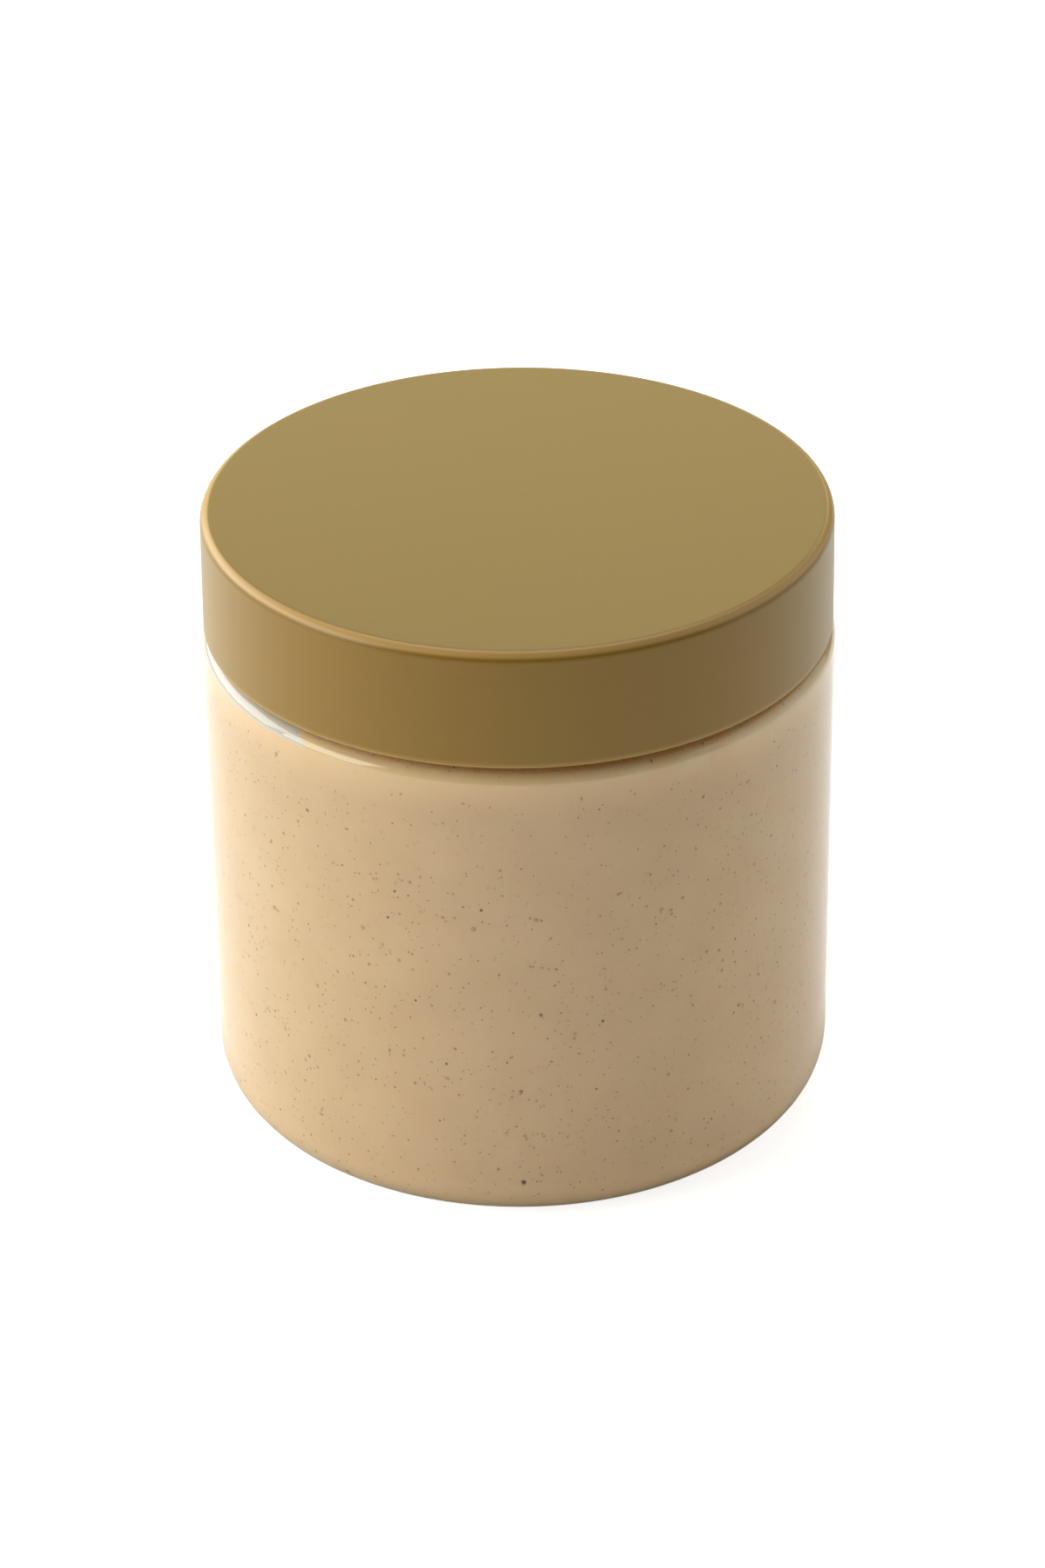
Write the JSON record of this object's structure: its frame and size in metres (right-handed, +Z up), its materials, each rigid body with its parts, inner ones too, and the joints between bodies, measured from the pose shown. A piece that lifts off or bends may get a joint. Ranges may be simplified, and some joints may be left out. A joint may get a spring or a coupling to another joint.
{
  "type": "jar of tahini",
  "caption": "Full clear straight-sided jar of pale brown sesame paste with a flat matte olive-gold screw lid, standing upright.",
  "frame": {"origin": "centre of the jar's foot, on the surface it stands on", "axes": "+Z up along the jar's axis of turning; X and Y are level, and the jar looks the same from every side"},
  "size_m": [0.0906, 0.0906, 0.0928],
  "materials": {
    "jar_clear": "clear blow-moulded PET, smooth and glossy",
    "tahini_paste": "smooth ground sesame paste with small dark flecks of hull, seen through the jar",
    "lid_plastic": "fine matte moulded polypropylene, olive-gold"
  },
  "bodies": {
    "root": {"jar": "jar_clear", "tahini": "tahini_paste", "lid": "lid_plastic"}
  },
  "joints": []
}
